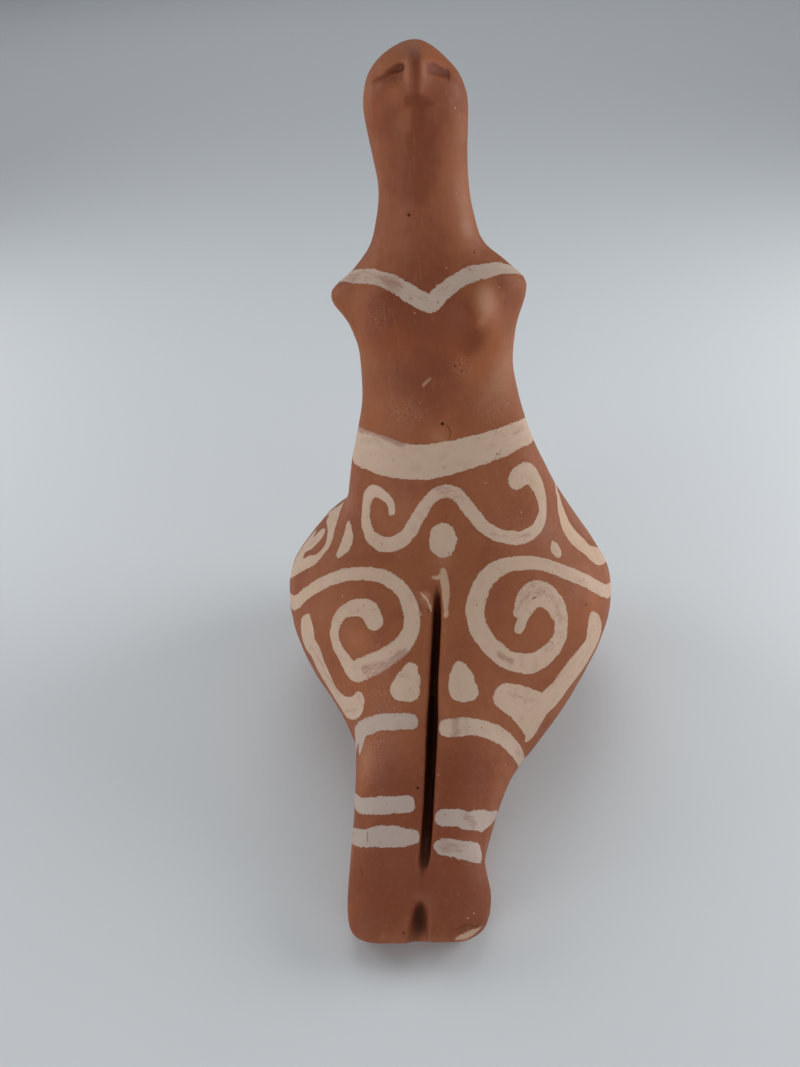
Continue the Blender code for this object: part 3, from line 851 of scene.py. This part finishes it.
def smooth_body(clay):
    """Smooth the broad forms well, and the head and the lips of the leg groove only a little."""
    start = np.array(GROOVE_TOP)
    way = np.array(GROOVE_END) - start
    share = np.clip((clay.points - start) @ way / (way @ way), 0, 1)
    from_groove = np.linalg.norm(clay.points - start - share[:, None] * way, axis=1)
    amounts = profile(clay.points[:, 2], SMOOTHED_AT_HEIGHT)
    amounts *= profile(from_groove, SMOOTHED_FROM_GROOVE)
    clay.relax(SMOOTHING_ROUNDS, amounts)


def fill_groove(clay):
    """Let the floor of the groove between the legs rise towards the feet."""
    start = np.array(GROOVE_TOP)
    way = np.array(GROOVE_END) - start
    outward = Vector((0.0, way[2], -way[1])).normalized()
    first, last = GROOVE_SHARES
    shares = np.linspace(first, last, GROOVE_STEPS)
    lips = []
    for share in shares:
        on_line = Vector(start + way * share)
        above = [on_line + Vector((side, 0, 0)) + outward * GROOVE_CLEAR
                 for side in (-LIP_ASIDE, LIP_ASIDE)]
        found = [clay.tree.ray_cast(place, -outward)[0] for place in above]
        lips.append(min((place - on_line) @ outward for place in found))
    offset = clay.points - start
    share = offset @ way / (way @ way)
    depth = np.interp(share, shares, lips) - (offset - share[:, None] * way) @ np.array(outward)
    _, v = photo_pixels(clay.points)
    amount = profile(v, GROOVE_FILL) * (np.abs(offset[:, 0]) < GROOVE_HALF) * (depth > 0)
    amount *= (share > first) & (share < last)
    clay.move(clay.points + np.array(outward) * (depth * amount)[:, None])


def refine_details(clay):
    """Give the face and the pinholes a finer mesh than the rest."""
    _, v = photo_pixels(clay.points)
    on_face = (clay.points[:, 2] > FINE_FACE_ABOVE) & (clay.points[:, 1] < FINE_FACE_BEFORE)
    on_face &= (v > FINE_FACE_ROWS[0]) & (v < FINE_FACE_ROWS[1])
    pits = np.array([clay.place(spot) for pit in PITS for spot in pit.spots])
    also = on_face
    for reach in PIT_REACHES:
        to_pit = np.linalg.norm(clay.points[:, None] - pits[None], axis=2).min(1)
        clay.refine(also | (to_pit < reach))
        also = False


def model_by_hand(clay):
    """The slight unevenness that fingers and a smoothing tool leave."""
    broad = grain_field(clay.points, FINGER_SIZE, 1) * FINGER_HEIGHT
    small = grain_field(clay.points, TOOL_SIZE, 2) * TOOL_HEIGHT
    calm = profile(clay.points[:, 2], CALM_ABOVE_SEAT)
    clay.push((broad + small) * calm + patchwork(clay, BUMPS))


def model_face(clay):
    """The pinched nose and the pressed eyes; gives the painted shade of the nose, the valley below it and
    the eye hollows, and the most shaded parts of it.
    """
    u, v = photo_pixels(clay.points)
    front = (clay.points[:, 2] > FACE_ABOVE) & (clay.points[:, 1] < FACE_BEFORE)
    front &= clay.normals[:, 1] < FACE_TURN
    from_middle = np.abs(u - profile(v, NOSE_MIDDLE))
    beside = from_middle - profile(v, NOSE_HALF)
    beside_base = from_middle - profile(v, BASE_HALF)
    ridge = profile(v, NOSE_HEIGHT) * falloff(beside / profile(v, NOSE_SLOPE), NOSE_EDGE)
    base = BASE_HEIGHT * band(v, *BASE_ROWS) * falloff(beside_base, BASE_EDGE)
    valley = band(v, *VALLEY_ROWS) * falloff(np.abs(u - VALLEY_MIDDLE), VALLEY_SIDE)

    left_bed = smoothstep(*EYE_TOP_EDGE, v - profile(u, LEFT_EYE_TOP)) * falloff(u, LEFT_EYE_INNER)
    left_core = left_bed * falloff(v - profile(u, LEFT_CORE_LOW), LEFT_CORE_EDGE)
    left_core *= profile(u, LEFT_CORE_SHADE_SPREAD)
    left_bed *= falloff(v - profile(u, LEFT_EYE_LOW), LEFT_EYE_LOW_EDGE) * smoothstep(*LEFT_EYE_OUTER, u)
    right_bed = smoothstep(*EYE_TOP_EDGE, v - profile(u, RIGHT_EYE_TOP))
    right_bed *= falloff(v - profile(u, RIGHT_EYE_LOW), RIGHT_EYE_LOW_EDGE)
    right_bed *= band(u, *RIGHT_EYE_COLUMNS)
    hollows = LEFT_CORE_DEPTH * left_core + LEFT_EYE_DEPTH * left_bed
    hollows += RIGHT_EYE_DEPTH * right_bed + VALLEY_DEPTH * valley
    clay.push(np.where(front, np.maximum(ridge, base) - hollows, 0.0))

    # Painted shade on the nose's front strip and underside, the valley below and the eye hollows
    strip = band(v, *NOSE_ROWS) * falloff(beside, BASE_EDGE)
    underside = band(v, *UNDERSIDE_ROWS) * falloff(beside_base, UNDERSIDE_EDGE)
    right_eye_shade = right_bed * profile(u, RIGHT_EYE_SHADE)
    deep_and_shaded = NOSE_SHADE * strip + UNDERSIDE_SHADE * underside + VALLEY_SHADE * valley
    deep_and_shaded += LEFT_EYE_SHADE * left_bed + LEFT_CORE_SHADE * left_core + right_eye_shade
    darkest_shade = left_core + RIGHT_EYE_DARKEST_SHADE * right_eye_shade + underside
    return np.where(front, deep_and_shaded, 0.0), np.where(front, darkest_shade, 0.0)


def press_pits(clay):
    """Pinholes and small chips in the surface; their depth also sets the painted shade inside them."""
    depth = np.zeros(len(clay.points))
    for pit in PITS:
        near, inside, _, _ = clay.along(pit.spots, pit.width, margin=PIT_MARGIN)
        pressed = pit.depth * smoothstep(PIT_EDGE, pit.width * PIT_FLOOR, inside)
        depth[near] = np.maximum(depth[near], pressed)
    clay.push(-depth)
    return depth


def worn_places(clay, places, soften):
    """The greatest amount among the places that reach each point, with softened edges."""
    amount = np.zeros(len(clay.points))
    for worn in places:
        near, inside, _, _ = clay.along(worn.spots, worn.width)
        amount[near] = np.maximum(amount[near], worn.amount * smoothstep(*soften, inside))
    return amount


def brush_slip(clay):
    """At each point: distance inside the slip's edge, run and offset of the brush, tint and wear."""
    count = len(clay.points)
    edge = np.full(count, FAR_OUTSIDE)
    run = np.zeros(count)
    across = np.zeros(count)
    cool = np.zeros(count)
    for number, stroke in enumerate(STROKES):
        near, inside, stroke_run, stroke_across = clay.along(stroke.spots, stroke.widths)
        better = inside > edge[near]
        chosen = near[better]
        edge[chosen] = inside[better]
        run[chosen] = stroke_run[better] + STROKE_APART * number
        across[chosen] = stroke_across[better]
        cool[chosen] = stroke.cool
    pink = np.full(count, FAR_OUTSIDE)
    for smear in PINK_SMEARS:
        near, inside, _, _ = clay.along(smear.spots, smear.widths)
        pink[near] = np.maximum(pink[near], inside)
    return {"slip_edge": edge, "slip_run": run, "slip_across": across, "slip_cool": cool,
            "slip_wear": worn_places(clay, WORN, WEAR_SOFT), "pink_edge": pink}


def scratch_clay(clay):
    """For each point near a hairline: the offset from it in half widths, and its strength there."""
    count = len(clay.points)
    closest = np.zeros(count)
    offset = np.full(count, HAIRLINE_FAR)
    strength = np.zeros(count)
    fade = [share * HAIRLINE_BAND / 2 for share in HAIRLINE_FADE]
    for hairline in HAIRLINES:
        near, inside, _, across = clay.along(hairline.spots, HAIRLINE_BAND, margin=HAIRLINE_MARGIN)
        better = inside > closest[near]
        chosen = near[better]
        closest[chosen] = inside[better]
        offset[chosen] = across[better] / (hairline.width / 2)
        strength[chosen] = hairline.strength * smoothstep(*fade, inside[better])
    return {"hairline_offset": offset, "hairline_strength": strength}


def patchwork(clay, patches):
    """The sum of soft round patches on the clay."""
    total = np.zeros(len(clay.points))
    for patch in patches:
        middle = np.array(clay.place(patch.spot))
        away = np.linalg.norm(clay.points - middle, axis=1) / patch.reach
        total += patch.amount * np.exp(-away ** 2)
    return total


def painted_clay():
    """Burnished red clay with pits, scratches and dust, under streaky cream slip, with painted highlights
    and painted shade in its colour.
    """
    finish = Finish("painted_fired_clay")
    here = finish.place((1, 1, 1))
    # Painted highlights and painted shade, joined with the clay's own paler and deeper patches
    tone_and_light = finish.measure("clay_tone_and_light")
    scuff = finish.measure("clay_scuff")
    hollow_shade = finish.measure("clay_hollow_shade")
    recess_shade = finish.measure("clay_recess_shade")
    wear = finish.measure("slip_wear")
    cool = finish.measure("slip_cool")
    hairline = finish.measure("hairline_strength")
    brush = finish.vector(finish.measure("slip_run") * BRUSH_PULL, finish.measure("slip_across"), 0.0)

    blotch = finish.grain(here, BLOTCH_SIZE, detail=2.0, seed=1.0)
    plum = finish.grain(here, PLUM_SIZE, detail=2.0, seed=11.0)
    mottle = finish.grain(here, MOTTLE_SIZE, detail=4.0, seed=2.0, rough=0.6)
    fine = finish.grain(here, FINE_SIZE, detail=3.0, seed=3.0, rough=0.6)
    burnish = finish.grain(finish.place(BURNISH_STRETCH), BURNISH_SIZE, detail=3.0, seed=4.0, rough=0.6)
    streak = finish.grain(brush, STREAK_SIZE, detail=4.0, seed=5.0, rough=0.65)
    wide_streak = finish.grain(brush, WIDE_STREAK_SIZE, detail=2.0, seed=6.0)
    grit = finish.grain(here, GRIT_SIZE, detail=2.0, seed=8.0, rough=0.7)
    pinholes = finish.dots(here, PINHOLES_APART, 0.06, 0.13)
    specks = finish.dots(finish.place(SPECK_STRETCH), SPECKS_APART, 0.03, 0.065)
    speck_place = finish.grain(here, SPECK_CLUSTER, detail=1.0, seed=7.0).between(0.48, 0.62)

    # The painted shade darkens and the painted highlights lighten the clay, along with its random patches
    deep_and_shaded = ((blotch - 0.5) * 0.6 + (mottle - 0.5) * 0.35 - tone_and_light * 0.55).between(-0.10, 0.28)
    pale = (mottle * 0.5 + fine * 0.2 + blotch * 0.3 + tone_and_light * 0.35).between(0.54, 0.98)
    warmth = (plum - 0.5) * 1.9 + (mottle - 0.5) * 0.7 + finish.measure("clay_hue")
    clay = finish.coats(CLAY_RED, [
        (deep_and_shaded * 0.85, CLAY_DEEP_AND_SHADED),
        (pale * 0.55, CLAY_PALE_AND_LIT),
        (warmth.between(0.05, 1.0) * 0.55, CLAY_ORANGE),
        ((0 - warmth).between(0.05, 1.0) * 0.55, CLAY_PLUM),
        (burnish.between(0.52, 0.80) * 0.22, CLAY_DUST),
        (burnish.between(0.50, 0.22) * 0.20, CLAY_DEEP_AND_SHADED),
        # Painted highlights lighten, and painted shade darkens, beside the clay's own paler and deeper
        # patches
        (tone_and_light.between(0.1, 1.0) * 0.65, CLAY_PALE_AND_LIT),
        ((0 - tone_and_light).between(0.3, 1.2) * 0.75, CLAY_DEEP_AND_SHADED),
        (scuff.between(0.1, 0.9) * grit.between(0.50, 0.68) * 0.65, CLAY_DUST),
        (scuff.between(0.2, 1.0) * grit.between(0.42, 0.30) * 0.65, CLAY_DEEP_AND_SHADED),
        (specks * speck_place.between(0.0, 1.0) * 0.8, SPECK),
        # Painted shade in the hollows, darker the further a point lies below its neighbours
        (hollow_shade.between(0.05, 0.30) * 0.40, CLAY_CRACK_AND_SHADE),
    ])

    ragged = (fine - 0.5) * 0.75 + (mottle - 0.5) * 1.1 + (streak - 0.5) * 0.4 + (grit - 0.5) * 0.25
    inside = finish.measure("slip_edge") + ragged
    cover = inside.between(-0.07, 0.10)
    thin_rim = 1 - inside.between(0.0, 0.45)
    thin = wear * 1.15 + (streak - 0.5) * 2.2 + (mottle - 0.5) * 0.8 + thin_rim * 0.35 - 0.42
    thin = thin.between(0.0, 0.95)
    slip = finish.coats(SLIP_CREAM, [
        (wide_streak.between(0.35, 0.65) * 0.45, SLIP_WARM),
        (cool.between(0.0, 1.0) * 0.85, SLIP_COOL),
        ((0 - cool).between(0.0, 1.0) * 0.70, SLIP_WARM),
        (mottle.between(0.48, 0.72) * 0.30, SLIP_THIN),
        (thin * 0.90, SLIP_THIN),
        (streak.between(0.35, 0.20) * 0.35, SPECK),
    ])
    bare = pinholes * mottle.between(0.44, 0.56)
    solid_slip = cover * (1 - bare * 0.9) * (1 - thin * 0.32)
    pink = (finish.measure("pink_edge") + ragged * 0.8).between(-0.15, 0.35) * 0.80

    hair = 1 - abs(finish.measure("hairline_offset")).between(0.35, 1.0)
    colour = finish.coats(clay, [
        (pink, SLIP_WARM),
        (solid_slip, slip),
        (hair * hairline.between(0.0, 1.0) * 0.75, SPECK),
        (hair * (0 - hairline).between(0.0, 1.0) * 0.9, CLAY_CRACK_AND_SHADE),
        # Painted shade in the pits, the face's recesses and the leg groove
        (recess_shade.between(0.08, 0.42) * 0.9, CLAY_CRACK_AND_SHADE),
    ])

    polish = burnish.between(0.5, 0.8)
    roughness = CLAY_ROUGHNESS + (mottle - 0.5) * 0.25 + cover * 0.14 - polish * 0.08 + scuff * 0.1
    pores = pinholes * mottle.between(0.40, 0.55)
    grains = fine * FINE_HEIGHT + mottle * MOTTLE_HEIGHT - pores * PORE_DEPTH
    grains = grains + scuff * grit * SCUFF_HEIGHT
    brushed = cover * (SLIP_HEIGHT + streak * STREAK_HEIGHT) * (1 - thin * 0.6)
    marks = burnish * BURNISH_HEIGHT + brushed + hair * hairline * HAIRLINE_HEIGHT
    relief = (grains + marks) * MM
    bump = finish.node("ShaderNodeBump", {}, {"Height": relief, "Distance": 1.0, "Strength": 1.0})
    finish.shine(Base_Color=colour, Roughness=roughness, Normal=bump, Specular_IOR_Level=CLAY_SHINE)
    return finish.material


def figure_piece(clay, measures):
    """The finished mesh, back in metres, with the numbers that its finish reads."""
    bmesh.ops.triangulate(clay.body, faces=[face for face in clay.body.faces if len(face.verts) > 4])
    mesh = bpy.data.meshes.new("painted_clay_figure")
    clay.body.to_mesh(mesh)
    mesh.transform(Matrix.Scale(MM, 4))
    mesh.shade_smooth()
    for name, values in measures.items():
        attribute = mesh.attributes.new(name, "FLOAT", "POINT")
        attribute.data.foreach_set("value", values.astype(np.float32))
    piece = bpy.data.objects.new("painted_clay_figure", mesh)
    bpy.context.scene.collection.objects.link(piece)
    mesh.materials.append(painted_clay())
    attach(piece, "root")
    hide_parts(FIGURE)
    return piece


def pale_floor():
    mesh = bpy.data.meshes.new("floor")
    corners = [(x * FLOOR_REACH, y * FLOOR_REACH, 0) for x, y in ((-1, -1), (1, -1), (1, 1), (-1, 1))]
    mesh.from_pydata(corners, [], [(0, 1, 2, 3)])
    floor = bpy.data.objects.new("floor", mesh)
    bpy.context.scene.collection.objects.link(floor)
    finish = Finish("pale_floor")
    finish.shine(Base_Color=FLOOR_PALE, Roughness=FLOOR_ROUGHNESS)
    mesh.materials.append(finish.material)


def soft_light(name, place, aim, size, watts):
    lamp = bpy.data.lights.new(name, "AREA")
    lamp.shape = "DISK"
    lamp.size = size
    lamp.energy = watts
    light = bpy.data.objects.new(name, lamp)
    light.location = place
    light.rotation_euler = (Vector(aim) - Vector(place)).to_track_quat("-Z", "Y").to_euler()
    bpy.context.scene.collection.objects.link(light)


def studio():
    """Plain soft light: two broad lamps low in front, one close at each side and a big one overhead."""
    for lamp in LAMPS:
        soft_light(*lamp)
    world = bpy.data.worlds.new("surround")
    world.use_nodes = True
    surround = world.node_tree.nodes["Background"]
    surround.inputs["Color"].default_value = (*SURROUND, 1.0)
    surround.inputs["Strength"].default_value = SURROUND_STRENGTH
    bpy.context.scene.world = world
    bpy.context.scene.view_settings.view_transform = "Standard"


def photo_camera():
    lens = bpy.data.cameras.new("photo_camera")
    lens.sensor_width = SENSOR
    lens.lens = PHOTO_FOCAL / PHOTO_HEIGHT * SENSOR
    lens.clip_start = NEAR_CLIP
    camera = bpy.data.objects.new("photo_camera", lens)
    camera.matrix_world = Matrix.Translation(CAMERA_PLACE * MM) @ camera_turn().to_4x4()
    bpy.context.scene.collection.objects.link(camera)
    bpy.context.scene.camera = camera


def main():
    photo_camera()
    pale_floor()
    studio()
    clay = Clay(even_clay())
    smooth_body(clay)
    fill_groove(clay)
    refine_details(clay)
    model_by_hand(clay)
    face_shade, face_darkest_shade = model_face(clay)
    pressed = press_pits(clay)
    # painted shade in the leg groove
    groove_shade = worn_places(clay, GROOVE_SHADE, GROOVE_SHADE_SOFT)
    measures = brush_slip(clay) | scratch_clay(clay)
    # Painted highlights and painted shade with the clay's own paler and deeper patches, and the face's
    # painted shade
    measures["clay_tone_and_light"] = patchwork(clay, LIGHT_SHADE_AND_TONE_PATCHES) - face_shade
    measures["clay_hue"] = patchwork(clay, HUES)
    measures["clay_scuff"] = patchwork(clay, SCUFFS)
    # painted shade in the hollows follows how far each point lies below its neighbours
    measures["clay_hollow_shade"] = clay.hollowness()
    # Painted shade: pits by their depth, the face's most shaded recesses and the leg groove
    measures["clay_recess_shade"] = np.maximum.reduce([pressed, FACE_SHADE_AS_PIT * face_darkest_shade, groove_shade])
    piece = figure_piece(clay, measures)
    print("triangles", sum(len(face.vertices) - 2 for face in piece.data.polygons))


main()
